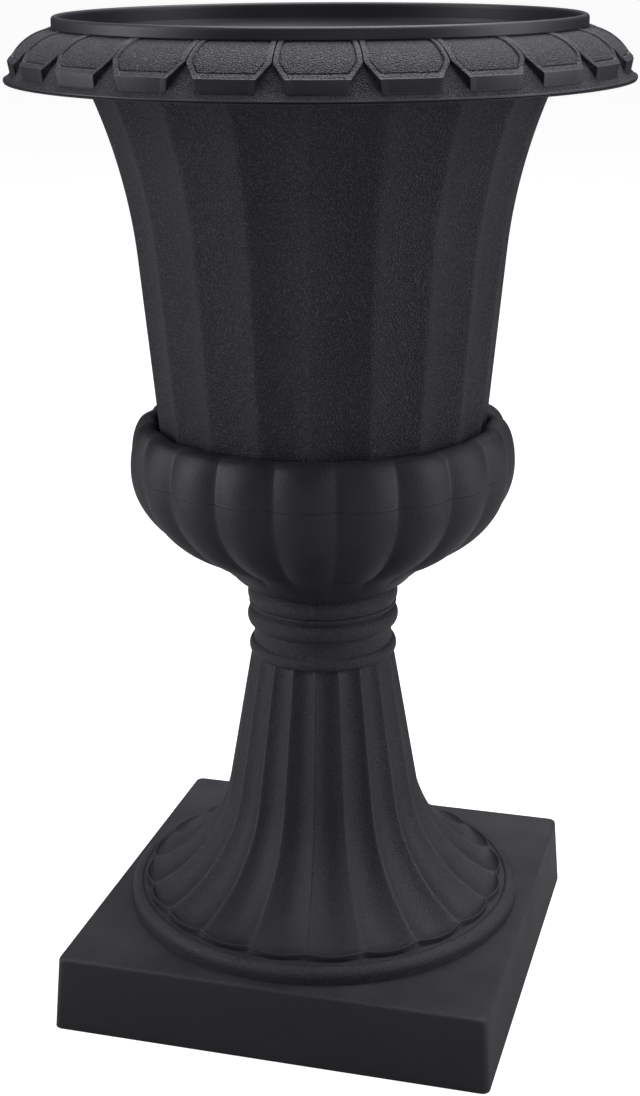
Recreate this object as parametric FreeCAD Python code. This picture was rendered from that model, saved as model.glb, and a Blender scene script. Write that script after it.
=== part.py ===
import FreeCAD, Part
import math
import os

# Urn planter: a square plinth with a fluted stem, a three-ring neck, a lobed cup and a fluted bowl.
# Millimetres, +Z up. The origin is the centre of the plinth's underside, X and Y run along its sides.

os.makedirs("parts", exist_ok=True)

# Driving dimensions
FLANGE_R = 203.0      # widest line of the lip, 16 in across
TOTAL_H = 679.0       # floor to the top of the collar
PLINTH_HALF = 154.4   # half of the plinth's side at the floor
PLINTH_H = 53.5
STEM_TOP_Z = 244.4
CUP_FOOT_Z = 296.0    # underside of the cup's foot, on the neck
CUP_RIM_Z = 412.0
BOWL_FOOT_Z = 346.0   # underside of the bowl's floor, on the cup's ribs
WALL = 2.8            # wall of every moulding
GAP = 0.3             # between faces that are set into each other
FLUTES = 20           # round the stem, the cup and the bowl
TILES = 24            # round the lip
RIBS = 10             # in the cup and under the plinth
BOLT_R = 4.0          # M8 tie bolt
BOLT_L = 75.0

PITCH = 360.0 / FLUTES
STEM_PHASE = 9.4      # azimuth of one arris of the stem, in degrees from -Y towards +X
CUP_PHASE = 1.3       # azimuth of one valley of the cup
BOWL_PHASE = 12.75    # azimuth of one arris of the bowl

UP = FreeCAD.Vector(0, 0, 1)
ORIGIN = FreeCAD.Vector(0, 0, 0)


# Geometry helpers

def at(r, z, azimuth=90.0):
    """Point at a radius, a height and an azimuth from -Y towards +X."""
    turn = math.radians(azimuth)
    return FreeCAD.Vector(r * math.sin(turn), -r * math.cos(turn), z)


def outline(start, *steps):
    """Closed wire in the XZ plane. A step (r, z) is a line, and ((r, z), (r, z)) an arc by its middle and end."""
    edges = []
    here = at(*start)
    for step in steps:
        curved = isinstance(step[0], tuple)
        there = at(*step[1]) if curved else at(*step)
        if curved:
            edges.append(Part.Arc(here, at(*step[0]), there).toShape())
        else:
            edges.append(Part.makeLine(here, there))
        here = there
    if here.distanceToPoint(at(*start)) > 1e-6:
        edges.append(Part.makeLine(here, at(*start)))
    return Part.Wire(edges)


def turned(start, *steps, angle=360.0):
    """Solid of revolution of an outline about Z, centred on azimuth 90 when it is only a sector."""
    face = Part.Face(outline(start, *steps))
    if angle < 360.0:
        face.rotate(ORIGIN, UP, -angle / 2)
    return face.revolve(ORIGIN, UP, angle)


def around(shape, count, first=0.0):
    """Copies of a shape that lies at azimuth 90, patterned round Z from the first azimuth on."""
    copies = []
    for i in range(count):
        copy = shape.copy()
        copy.rotate(ORIGIN, UP, first - 90.0 + i * 360.0 / count)
        copies.append(copy)
    return copies


def scalloped(r_edge, depth, z, phase):
    """Ring of arcs that meet in edges at r_edge. Depth is how far each arc's middle lies inside the circle."""
    edges = []
    for i in range(FLUTES):
        a = phase + i * PITCH
        middle = at(r_edge - depth, z, a + PITCH / 2)
        edges.append(Part.Arc(at(r_edge, z, a), middle, at(r_edge, z, a + PITCH)).toShape())
    return Part.Wire(edges)


def fluted(rows, phase, ruled=False):
    """Solid through scalloped sections, each given as radius, depth and height."""
    return Part.makeLoft([scalloped(r, depth, z, phase) for r, depth, z in rows], True, ruled)


def rounded_square(half, corner, z):
    """Square wire with rounded corners, centred on Z."""
    edges = []
    for i in range(4):
        side = FreeCAD.Rotation(UP, 90.0 * i)
        a = FreeCAD.Vector(half, corner - half, z)
        b = FreeCAD.Vector(half, half - corner, z)
        turn = corner * (1 - math.sqrt(0.5))
        middle = FreeCAD.Vector(half - turn, half - turn, z)
        c = FreeCAD.Vector(half - corner, half, z)
        edges.append(Part.makeLine(side.multVec(a), side.multVec(b)))
        edges.append(Part.Arc(side.multVec(b), side.multVec(middle), side.multVec(c)).toShape())
    return Part.Wire(edges)


def disc(r, z, height):
    return Part.makeCylinder(r, height, FreeCAD.Vector(0, 0, z))


def upright(points, thickness):
    """Plate that stands on azimuth 90, from its outline of (r, z) points."""
    plate = Part.Face(outline(*points)).extrude(FreeCAD.Vector(0, thickness, 0))
    plate.translate(FreeCAD.Vector(0, -thickness / 2, 0))
    return plate


def hexagon(across, z, height):
    """Hexagonal prism on Z, given across its flats."""
    r = across / math.sqrt(3)
    corners = [at(r, z, 60.0 * i) for i in range(7)]
    return Part.Face(Part.makePolygon(corners)).extrude(FreeCAD.Vector(0, 0, height))


# Bowl: a straight taper that flares on one arc up to the lip

TAPER = math.radians(5.3)
BOWL_FOOT_R = 107.1
FLARE_Z = 527.0       # where the taper ends
FLARE_R = 354.0       # radius of the flare's arc
FLUTE_DEPTH = 0.036   # arris to valley, as a part of the radius


def bowl_radius(z):
    """Radius at the arrises at a height."""
    taper_r = BOWL_FOOT_R + (min(z, FLARE_Z) - BOWL_FOOT_Z) * math.tan(TAPER)
    if z <= FLARE_Z:
        return taper_r
    lean = math.asin(math.sin(TAPER) + (z - FLARE_Z) / FLARE_R)
    return taper_r + FLARE_R * (math.cos(TAPER) - math.cos(lean))


def bowl_inside(z):
    """Radius of the smooth inside at a height, one wall behind the valleys."""
    return bowl_radius(z) * (1 - FLUTE_DEPTH) - WALL


COLLAR_R = 171.2      # outside of the upright collar
COLLAR_T = 4.7
COLLAR_FOOT_Z = 669.0
FLANGE_Z = 639.0      # underside of the flange
TILE_TOP = (COLLAR_R, 671.5)
TILE_MIDDLE = (188.8, 664.0)
TILE_EDGE = (198.7, 651.6)
TILE_LOW = (198.8, 645.2)
PANEL_DEPTH = 1.2
BORDER = 3.0          # raised border of a tile
GROOVE = 1.4          # between neighbouring tiles


def lip_shell():
    """Collar, domed lip and flange, hollow beneath and joined to the top of the wall."""
    wall_z = 646.0
    join_z = COLLAR_FOOT_Z + 1.0
    return turned(
        (140.0, wall_z), (140.0, join_z), (COLLAR_R - COLLAR_T, join_z),
        (COLLAR_R - COLLAR_T, TOTAL_H - COLLAR_T / 2),
        ((COLLAR_R - COLLAR_T / 2, TOTAL_H), (COLLAR_R, TOTAL_H - COLLAR_T / 2)),
        (COLLAR_R, COLLAR_FOOT_Z),
        ((187.6, 660.6), (197.0, 645.4)),
        (FLANGE_R - 1.8, 643.2),
        ((FLANGE_R, 641.2), (FLANGE_R - 1.8, FLANGE_Z)),
        (196.6, FLANGE_Z),
        ((187.0, 656.2), (173.0, COLLAR_FOOT_Z - WALL - 1.4)),
        (158.6, wall_z),
    )


def tile_prism(half_widths):
    """Prism that looks at the lip from 45 degrees above, from (half width, radius, height) rows down one edge."""
    slope = math.sqrt(0.5)
    right = []
    left = []
    for half, r, z in half_widths:
        up = (z - r) * slope
        right.append(FreeCAD.Vector(-up * slope, half, up * slope))
        left.insert(0, FreeCAD.Vector(-up * slope, -half, up * slope))
    face = Part.Face(Part.makePolygon(right + left + right[:1]))
    return face.extrude(FreeCAD.Vector(1, 0, 1) * 2 * TOTAL_H)


def tile_half(r):
    """Half the width of a tile at a radius, beside its groove."""
    return r * math.sin(math.radians(180.0 / TILES)) - GROOVE / 2


def tile():
    """One raised tile of the lip at azimuth 90: full width above, chamfered below, with a sunk panel."""
    sector = 20.0
    shoulder = (192.1, 660.8)
    lower_half = 17.7
    body = turned(
        TILE_TOP, (TILE_MIDDLE, TILE_EDGE), TILE_LOW, (194.0, 645.2),
        ((184.6, 660.0), (COLLAR_R - 1.0, COLLAR_FOOT_Z - 1.0)), (COLLAR_R - 1.0, TILE_TOP[1]),
        angle=sector,
    )
    body = body.common(tile_prism([
        (tile_half(COLLAR_R - 2), COLLAR_R - 2, TILE_TOP[1] + 2),
        (tile_half(shoulder[0]), *shoulder),
        (lower_half, *TILE_EDGE),
        (lower_half - 0.6, TILE_LOW[0] + 2, TILE_LOW[1] - 2),
    ]))
    sunk = turned(
        (TILE_TOP[0], TILE_TOP[1] - PANEL_DEPTH),
        ((TILE_MIDDLE[0] - 0.7, TILE_MIDDLE[1] - PANEL_DEPTH), (TILE_EDGE[0] - PANEL_DEPTH, TILE_EDGE[1])),
        (TILE_EDGE[0] + 9, TILE_EDGE[1]), (TILE_EDGE[0] + 9, TILE_TOP[1] + 9), (TILE_TOP[0], TILE_TOP[1] + 9),
        angle=sector,
    )
    return body.cut(sunk.common(tile_prism([
        (tile_half(COLLAR_R - 2) - BORDER, COLLAR_R - 2, TILE_TOP[1] + 2),
        (tile_half(shoulder[0]) - BORDER, shoulder[0], shoulder[1] + 0.6),
        (lower_half - 1.3, TILE_EDGE[0] - 1.6, TILE_EDGE[1] + 2.6),
    ])))


def bowl():
    """Open bowl with a drain hole in its floor."""
    lip_z = 664.0
    foot = [(bowl_radius(z), bowl_radius(z) * FLUTE_DEPTH, z) for z in (BOWL_FOOT_Z, FLARE_Z)]
    rise = (lip_z - FLARE_Z) / 4
    heights = [FLARE_Z + i * rise for i in range(5)]
    flare = [(bowl_radius(z), bowl_radius(z) * FLUTE_DEPTH, z) for z in heights]
    body = fluted(foot, BOWL_PHASE, ruled=True).fuse(fluted(flare, BOWL_PHASE))
    body = body.fuse(lip_shell())
    body = body.fuse(around(tile(), TILES))
    floor_z = BOWL_FOOT_Z + WALL
    flare_end = 640.0
    flare_mid = (FLARE_Z + flare_end) / 2
    hollow = turned(
        (0, floor_z), (bowl_inside(floor_z), floor_z), (bowl_inside(FLARE_Z), FLARE_Z),
        ((bowl_inside(flare_mid), flare_mid), (bowl_inside(flare_end), flare_end)),
        ((156.8, 654.0), (COLLAR_R - COLLAR_T, TOTAL_H - 9)),
        (COLLAR_R - COLLAR_T, TOTAL_H + 9), (0, TOTAL_H + 9),
    )
    drain = disc(PLUG_R + GAP, BOWL_FOOT_Z - 1, WALL + 2)
    return body.cut(hollow).cut(drain).removeSplitter()


# Drain plug: a tapered stopper with a head and a pull

PLUG_R = 11.0


def drain_plug():
    head_r = PLUG_R + 4.0
    seat_z = BOWL_FOOT_Z + WALL
    pull_r = 3.0
    return turned(
        (0, BOWL_FOOT_Z - 4), (PLUG_R - 2, BOWL_FOOT_Z - 4), (PLUG_R, BOWL_FOOT_Z - 1), (PLUG_R, seat_z),
        (head_r, seat_z), (head_r, seat_z + 1.6), (pull_r, seat_z + 3.0), (pull_r, seat_z + 9.0),
        ((pull_r + 2.0, seat_z + 11.0), (pull_r, seat_z + 13.0)), (0, seat_z + 13.0),
    )


# Cup: lobes on two quarter ellipses, one below the widest line and one above it

LOBE_Z = 382.0        # height of the widest line
LOBE_R = 132.5
LOBE_DEPTH = 4.6      # crest to valley at the widest line
CUP_MOUTH_R = 114.3
FOOT_CREASE = (64.5, 304.8)   # between the cup's round bottom and its foot


def lobe_section(down):
    """Crest radius, valley depth and height of the lobes, down from -1 at the mouth to 1 at the foot."""
    if down > 0:
        turn = math.radians(56.0 * down)
        r = LOBE_R - 127.0 * (1 - math.cos(turn))
        z = LOBE_Z - 80.0 * math.sin(turn)
        depth = LOBE_DEPTH * (1 - 0.75 * down ** 4) * math.sqrt(r / LOBE_R)
    else:
        turn = math.radians(-90.0 * down)
        r = LOBE_R - 16.5 * (1 - math.cos(turn))
        z = LOBE_Z + (CUP_RIM_Z - LOBE_Z) * math.sin(turn)
        depth = LOBE_DEPTH * math.cos(turn)
    return r, depth, z


def lobed(down):
    """Section of the lobes: edges in the valleys, arcs over the crests."""
    r, depth, z = lobe_section(down)
    return scalloped(r - depth, -depth, z, CUP_PHASE)


def cup_rib():
    """Rib at azimuth 90 that carries the bowl, with a tongue that stands in one of its flutes."""
    tongue_h = 12.0
    valley = bowl_radius(BOWL_FOOT_Z) * (1 - FLUTE_DEPTH) + 1.0
    lean = tongue_h * math.tan(TAPER)
    return upright([
        (34.0, CUP_FOOT_Z + 1), (56.0, CUP_FOOT_Z + 1), (107.5, BOWL_FOOT_Z - 6),
        (110.5, BOWL_FOOT_Z + tongue_h), (valley + lean, BOWL_FOOT_Z + tongue_h),
        (valley, BOWL_FOOT_Z), (90.0, BOWL_FOOT_Z), (40.0, CUP_FOOT_Z + 16.0), (34.0, CUP_FOOT_Z + 8.0),
    ], WALL)


def cup():
    """Lobed cup on a smooth foot, open above, with a spigot that enters the neck."""
    steps = [1.0, 0.8, 0.6, 0.4, 0.2, 0.0, -0.3, -0.55, -0.8, -1.0]
    body = Part.makeLoft([lobed(step) for step in steps], True, False)
    lobe_foot_r, lobe_foot_depth, lobe_foot_z = lobe_section(1.0)
    body = body.fuse(turned(
        (0, CUP_FOOT_Z), (52.8, CUP_FOOT_Z), ((53.8, CUP_FOOT_Z + 0.4), (54.4, CUP_FOOT_Z + 1.2)),
        ((59.8, 299.9), FOOT_CREASE), ((70.4, 309.8), (lobe_foot_r - lobe_foot_depth, lobe_foot_z)),
        (0, lobe_foot_z),
    ))
    inner_r = LOBE_R - LOBE_DEPTH - WALL
    hollow = turned(
        (0, CUP_FOOT_Z + 3.2), (50.0, CUP_FOOT_Z + 3.2), ((62.0, 307.6), (74.0, 320.0)),
        ((108.0, 346.0), (inner_r, LOBE_Z)), ((inner_r - 2.4, 395.0), (CUP_MOUTH_R + 3, 406.5)),
        (CUP_MOUTH_R, 408.5), (CUP_MOUTH_R, CUP_RIM_Z + 9), (0, CUP_RIM_Z + 9),
    )
    body = body.cut(hollow)
    body = body.fuse(around(cup_rib(), RIBS, BOWL_PHASE + PITCH / 2))
    spigot = disc(NECK_BORE - GAP, CUP_FOOT_Z - SPIGOT_H, SPIGOT_H + 1)
    body = body.fuse(spigot.cut(disc(NECK_BORE - GAP - WALL, CUP_FOOT_Z - SPIGOT_H - 1, SPIGOT_H + 1)))
    body = body.cut(disc(BOLT_R + 0.5, CUP_FOOT_Z - 1, 9))
    drains = around(Part.makeCylinder(3.0, 9, at(24.0, CUP_FOOT_Z - 1)), 4, 45.0)
    return body.cut(drains).removeSplitter()


# Neck: three rolled rings round an open tube

NECK_BORE = 43.5
SPIGOT_H = 8.0


def neck_ring():
    """The upper ring ends in a bead, and a plain band parts the lower two."""
    return turned(
        (NECK_BORE, STEM_TOP_Z), (51.2, STEM_TOP_Z),
        ((52.2, 248.4), (49.8, 253.0)), (48.9, 254.4), (48.9, 263.4), (51.8, 266.0),
        ((53.3, 270.8), (50.0, 277.6)), (50.6, 278.8), ((52.0, 280.4), (51.8, 282.4)),
        ((52.8, 287.6), (50.8, 294.0)), (50.6, CUP_FOOT_Z), (NECK_BORE, CUP_FOOT_Z),
    )


# Pedestal: stem, foot ring and plinth in one hollow moulding, open beneath

STEM_LEAN = math.radians(9.9)
STEM_TOP_R = 51.0
FLARE_TOP_Z = 144.0   # where the straight stem ends
STEM_FLARE_R = 100.0
STEM_FLUTE = 0.06     # arris to valley, as a part of the radius
SCALLOP = 4.8         # how far each flute's foot stands out past the arrises


def stem_sections():
    """Sections of the stem's flare from its top down, on one concave arc."""
    top_r = STEM_TOP_R + (STEM_TOP_Z - FLARE_TOP_Z) * math.tan(STEM_LEAN)
    centre_r = top_r + STEM_FLARE_R * math.cos(STEM_LEAN)
    centre_z = FLARE_TOP_Z + STEM_FLARE_R * math.sin(STEM_LEAN)
    rows = []
    for i in range(6):
        turn = STEM_LEAN + (math.radians(67.0) - STEM_LEAN) * i / 5
        r = centre_r - STEM_FLARE_R * math.cos(turn)
        z = centre_z - STEM_FLARE_R * math.sin(turn)
        rows.append((r, r * STEM_FLUTE, z))
    return rows


def plinth_block(inset, low, high):
    """Tapered square block with rounded corners, set in from the plinth's outside."""
    taper = 3.6 / PLINTH_H
    return Part.makeLoft([
        rounded_square(PLINTH_HALF - inset - taper * z, 5.0, z) for z in (low, high)
    ], True, True)


def plinth():
    block = plinth_block(0.0, 0.0, PLINTH_H)
    top = [e for e in block.Edges if abs(e.BoundBox.ZMin - PLINTH_H) < 1e-3 and e.BoundBox.ZLength < 1e-3]
    return block.makeFillet(2.0, top)


def pedestal():
    flare = stem_sections()
    top_depth = STEM_TOP_R * STEM_FLUTE
    stem = fluted([(STEM_TOP_R, top_depth, STEM_TOP_Z), flare[0]], STEM_PHASE, ruled=True)
    stem = stem.fuse(fluted(flare, STEM_PHASE))
    foot_r = flare[-1][0]
    foot_z = flare[-1][2]
    scallop = Part.Face(scalloped(foot_r - 1.8, -SCALLOP, PLINTH_H - 1, STEM_PHASE))
    stem = stem.fuse(scallop.extrude(FreeCAD.Vector(0, 0, foot_z - PLINTH_H + 1)))
    ring = turned(
        (foot_r - 9, PLINTH_H - 1), (141.9, PLINTH_H - 1), (141.9, 59.0),
        ((139.2, 64.0), (135.6, 65.4)), ((134.4, 65.0), (133.4, 63.8)), (foot_r - 9, 63.8),
    )
    body = plinth().fuse([stem, ring])
    hollow = plinth_block(WALL + 0.4, -1.0, PLINTH_H - WALL)
    top_in = STEM_TOP_R - top_depth - WALL
    mid_r, mid_depth, mid_z = flare[2]
    waist_in = flare[0][0] - flare[0][1] - WALL
    throat = turned(
        (0, PLINTH_H - WALL - 1), (112.0, PLINTH_H - WALL - 1), (112.0, 58.0),
        ((mid_r - mid_depth - WALL - 2, mid_z - 2), (waist_in, FLARE_TOP_Z)),
        (top_in, STEM_TOP_Z - 4.5), (0, STEM_TOP_Z - 4.5),
    )
    body = body.cut(hollow).cut(throat)
    rib = upright([
        (108.0, 22.0), (PLINTH_HALF - 4, 22.0), (PLINTH_HALF - 4, PLINTH_H - 1), (108.0, PLINTH_H - 1),
    ], 2.4)
    cross = around(rib, 4, 0.0)
    diagonal = upright([
        (108.0, 22.0), (205.0, 22.0), (205.0, PLINTH_H - 1), (108.0, PLINTH_H - 1),
    ], 2.4)
    body = body.fuse(cross + around(diagonal, 4, 45.0))
    spigot = disc(NECK_BORE - GAP, STEM_TOP_Z - 1, SPIGOT_H + 1)
    body = body.fuse(spigot.cut(disc(NECK_BORE - GAP - WALL, STEM_TOP_Z - 2, SPIGOT_H + 9)))
    body = body.cut(disc(BOLT_R + 0.5, STEM_TOP_Z - 9, 20))
    drains = around(Part.makeCylinder(3.0, 20, at(24.0, STEM_TOP_Z - 9)), 4, 45.0)
    return body.cut(drains).removeSplitter()


# Tie bolt with its washers and nut, which clamps cup, neck and stem

WASHER_H = 1.6
HEAD_SEAT_Z = CUP_FOOT_Z + 3.2 + WASHER_H
NUT_SEAT_Z = STEM_TOP_Z - 4.5 - WASHER_H
NUT_H = 6.5


def washer(z):
    return disc(12.0, z, WASHER_H).cut(disc(BOLT_R + 0.4, z - 1, WASHER_H + 2))


def tie_bolt():
    shank = disc(BOLT_R, HEAD_SEAT_Z - BOLT_L, BOLT_L + 1)
    head = hexagon(13.0, HEAD_SEAT_Z, 5.3)
    bevel = turned(
        (0, HEAD_SEAT_Z), (8.4, HEAD_SEAT_Z), (8.4, HEAD_SEAT_Z + 3.9),
        (6.4, HEAD_SEAT_Z + 5.3), (0, HEAD_SEAT_Z + 5.3),
    )
    return shank.fuse(head.common(bevel)).removeSplitter()


def tie_nut():
    return hexagon(13.0, NUT_SEAT_Z - NUT_H, NUT_H).cut(disc(BOLT_R + 0.05, NUT_SEAT_Z - NUT_H - 1, NUT_H + 2))


PARTS = {
    "bowl": bowl,
    "drain_plug": drain_plug,
    "cup": cup,
    "neck_ring": neck_ring,
    "pedestal": pedestal,
    "tie_bolt": tie_bolt,
    "head_washer": lambda: washer(CUP_FOOT_Z + 3.2),
    "nut_washer": lambda: washer(NUT_SEAT_Z),
    "tie_nut": tie_nut,
}

for name, make in PARTS.items():
    shape = make()
    box = shape.BoundBox
    print(name, "solids", len(shape.Solids), "valid", shape.isValid(), "volume", round(shape.Volume),
          "z", round(box.ZMin, 1), round(box.ZMax, 1), "x", round(box.XMax, 1))
    shape.exportStep(f"parts/{name}.step")
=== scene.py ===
import math

import bmesh
import bpy
from mathutils import Matrix, Vector


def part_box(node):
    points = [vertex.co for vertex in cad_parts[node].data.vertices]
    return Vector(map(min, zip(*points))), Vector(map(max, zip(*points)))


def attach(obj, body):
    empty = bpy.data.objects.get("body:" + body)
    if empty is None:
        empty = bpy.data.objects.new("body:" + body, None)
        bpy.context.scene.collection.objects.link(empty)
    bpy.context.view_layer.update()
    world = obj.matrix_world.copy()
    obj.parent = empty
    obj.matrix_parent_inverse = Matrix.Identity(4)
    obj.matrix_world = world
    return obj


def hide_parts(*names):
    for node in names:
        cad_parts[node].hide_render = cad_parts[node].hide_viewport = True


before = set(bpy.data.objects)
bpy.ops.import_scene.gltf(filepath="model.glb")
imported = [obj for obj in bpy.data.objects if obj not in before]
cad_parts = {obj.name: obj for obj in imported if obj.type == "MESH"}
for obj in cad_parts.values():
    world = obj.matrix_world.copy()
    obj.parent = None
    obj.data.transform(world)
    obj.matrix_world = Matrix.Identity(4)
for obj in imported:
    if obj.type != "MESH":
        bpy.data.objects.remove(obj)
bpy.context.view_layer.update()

# Outlines are in millimetres, as on a drawing, each point as (radius, height). Meshes are in metres.
# Azimuths are in degrees from -Y towards +X.
MM = 0.001

_, pedestal_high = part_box("pedestal")
bowl_low, bowl_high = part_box("bowl")
neck_low, neck_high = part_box("neck_ring")

PLINTH_HALF = pedestal_high.x / MM
PLINTH_H = 53.5       # to the plinth's flat top
STEM_TOP_Z = neck_low.z / MM
CUP_FOOT_Z = neck_high.z / MM
BOWL_FOOT_Z = bowl_low.z / MM
FLANGE_R = -bowl_low.x / MM       # the CAD flange's facets reach a little less far on this side
TOTAL_H = bowl_high.z / MM
WALL = 2.8
GAP = 0.3             # between a spigot or plug and its hole
NECK_BORE = 43.5
SPIGOT_H = 8.0        # how far cup and stem reach into the neck ring
BOLT_HOLE_R = 4.5
PLUG_R = 11.0

FLUTES = 20
TILES = 24
RIBS = 10
STEM_PHASE = 9.4      # one arris of the stem
CUP_PHASE = 1.3       # one valley of the cup
BOWL_PHASE = 12.75    # one arris of the bowl, on a column of the lip's mesh

BOWL_COLUMNS = 480    # a multiple of both the flutes and the tiles
CUP_COLUMNS = 360
STEM_COLUMNS = 360
NECK_COLUMNS = 180
CROWDING = 0.8        # of columns towards the edges of the flutes, 0 for none, under 1


# ---- outlines

def arc_points(a, m, b, step):
    """Points after a on the arc from a by m to b, about a step apart."""
    ax, ay = a
    mx, my = m
    bx, by = b
    d = 2 * (ax * (my - by) + mx * (by - ay) + bx * (ay - my))
    a2, m2, b2 = ax * ax + ay * ay, mx * mx + my * my, bx * bx + by * by
    cx = (a2 * (my - by) + m2 * (by - ay) + b2 * (ay - my)) / d
    cy = (a2 * (bx - mx) + m2 * (ax - bx) + b2 * (mx - ax)) / d
    r = math.hypot(ax - cx, ay - cy)
    start = math.atan2(ay - cy, ax - cx)
    to_m = (math.atan2(my - cy, mx - cx) - start) % math.tau
    to_b = (math.atan2(by - cy, bx - cx) - start) % math.tau
    sweep = to_b if to_m < to_b else to_b - math.tau
    n = max(2, math.ceil(abs(sweep) * r / step))
    return [(cx + r * math.cos(start + sweep * i / n), cy + r * math.sin(start + sweep * i / n))
            for i in range(1, n + 1)]


def line_points(a, b, step):
    """Points after a on the line from a to b, about a step apart."""
    n = max(1, math.ceil(math.dist(a, b) / step))
    return [(a[0] + (b[0] - a[0]) * i / n, a[1] + (b[1] - a[1]) * i / n) for i in range(1, n + 1)]


def trace(start, *steps, step=3.0):
    """Points of an outline. A step (r, z) is a line, and ((r, z), (r, z)) an arc by its middle and end."""
    points = [start]
    for to in steps:
        if isinstance(to[0], tuple):
            points += arc_points(points[-1], to[0], to[1], step)
        else:
            points += line_points(points[-1], to, step)
    return points


# ---- meshes

def place(r, z, azimuth):
    """Point in metres from a radius and height in millimetres and an azimuth in degrees."""
    turn = math.radians(azimuth)
    return (r * MM * math.sin(turn), -r * MM * math.cos(turn), z * MM)


def new_piece(name, verts, faces):
    """Smooth-shaded mesh object at the origin."""
    mesh = bpy.data.meshes.new(name)
    mesh.from_pydata(verts, [], faces)
    mesh.validate()
    mesh.shade_smooth()
    piece = bpy.data.objects.new(name, mesh)
    bpy.context.scene.collection.objects.link(piece)
    return piece


def grid_faces(rows, columns, close_rows, close_columns):
    """Quads of a grid of rows by columns, closed either way where asked."""
    faces = []
    for i in range(rows if close_rows else rows - 1):
        j = (i + 1) % rows
        for c in range(columns if close_columns else columns - 1):
            d = (c + 1) % columns
            faces.append((i * columns + c, i * columns + d, j * columns + d, j * columns + c))
    return faces


def press_attribute(piece, columns, press):
    """Stores for every point its row's press, as (radial, 0, upward). The rows left over have none."""
    attributes = piece.data.attributes
    values = attributes.get("press") or attributes.new("press", "FLOAT_VECTOR", "POINT")
    flat = []
    for radial, upward in press:
        flat += [radial * MM, 0.0, upward * MM] * columns
    flat += [0.0] * (3 * len(values.data) - len(flat))
    values.data.foreach_set("vector", flat)


def store(piece, label, amounts):
    """Stores one number for every point of a piece."""
    piece.data.attributes.new(label, "FLOAT", "POINT").data.foreach_set("value", amounts)


def evenly(columns, first=0.0):
    """Azimuths of evenly spaced columns."""
    return [first + 360.0 * c / columns for c in range(columns)]


def crowded(per_flute, phase):
    """Azimuths of columns that crowd towards the edges of the flutes, where they turn most."""
    columns = []
    for i in range(FLUTES):
        for c in range(per_flute):
            along = c / per_flute
            eased = along - CROWDING * math.sin(math.tau * along) / math.tau
            columns.append(phase + (i + eased) * 360.0 / FLUTES)
    return columns


def turned(name, points, azimuths, press=None, closed=True):
    """Outline turned round Z. It runs down the outside, so that faces look outwards, and may be closed."""
    verts = [place(r, z, azimuth) for r, z in points for azimuth in azimuths]
    piece = new_piece(name, verts, grid_faces(len(points), len(azimuths), closed, True))
    if press:
        press_attribute(piece, len(azimuths), press)
    return piece


def outward_normals(points):
    """Unit normals (radial, upward) of an outline that runs down the outside."""
    normals = []
    for i, _ in enumerate(points):
        a = Vector(points[max(i - 1, 0)])
        b = Vector(points[min(i + 1, len(points) - 1)])
        along = (b - a).normalized()
        normals.append((-along.y, along.x))
    return normals


# ---- geometry node trees

FULL_ARRIS = 2.5        # press in millimetres from which an arris is marked in full
ARRIS_WIDTH = 0.16      # of the mark, as a part of half a flute


def new_tree(name, inputs):
    """Tree with the sockets given to it and those it fills. Inputs are given as name: (type, default)."""
    tree = bpy.data.node_groups.new(name, "GeometryNodeTree")
    tree.interface.new_socket("Geometry", in_out="INPUT", socket_type="NodeSocketGeometry")
    for label, (kind, default) in inputs.items():
        item = tree.interface.new_socket(label, in_out="INPUT", socket_type=kind)
        if default is not None:
            item.default_value = default
    tree.interface.new_socket("Geometry", in_out="OUTPUT", socket_type="NodeSocketGeometry")
    return tree, tree.nodes.new("NodeGroupInput").outputs, tree.nodes.new("NodeGroupOutput").inputs


def join(tree, source, target):
    """Links an output socket to an input socket."""
    tree.links.new(source, target)


def add_node(tree, kind, inputs={}, **settings):
    """Node with its settings, and inputs by name or number, each a socket to link or a value."""
    node = tree.nodes.new(kind)
    for label, value in settings.items():
        setattr(node, label, value)
    for label, value in inputs.items():
        if isinstance(value, bpy.types.NodeSocket):
            join(tree, value, node.inputs[label])
        else:
            node.inputs[label].default_value = value
    return node


def maths(tree, operation, *values, clamp=False):
    """Result of a math node whose inputs are sockets or numbers."""
    node = add_node(tree, "ShaderNodeMath", dict(enumerate(values)), operation=operation, use_clamp=clamp)
    return node.outputs[0]


def split(tree, vector):
    """Three parts of a vector socket."""
    return add_node(tree, "ShaderNodeSeparateXYZ", {0: vector}).outputs


def end_tree(tree, given, out, geometry, merge=None):
    """Ends a tree in real geometry with its material, merged where a distance is given."""
    geometry = add_node(tree, "GeometryNodeRealizeInstances", {0: geometry}).outputs[0]
    if merge:
        inputs = {"Geometry": geometry, "Distance": merge}
        geometry = add_node(tree, "GeometryNodeMergeByDistance", inputs).outputs[0]
    inputs = {"Geometry": geometry, "Material": given["Material"]}
    join(tree, add_node(tree, "GeometryNodeSetMaterial", inputs).outputs[0], out[0])


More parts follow.
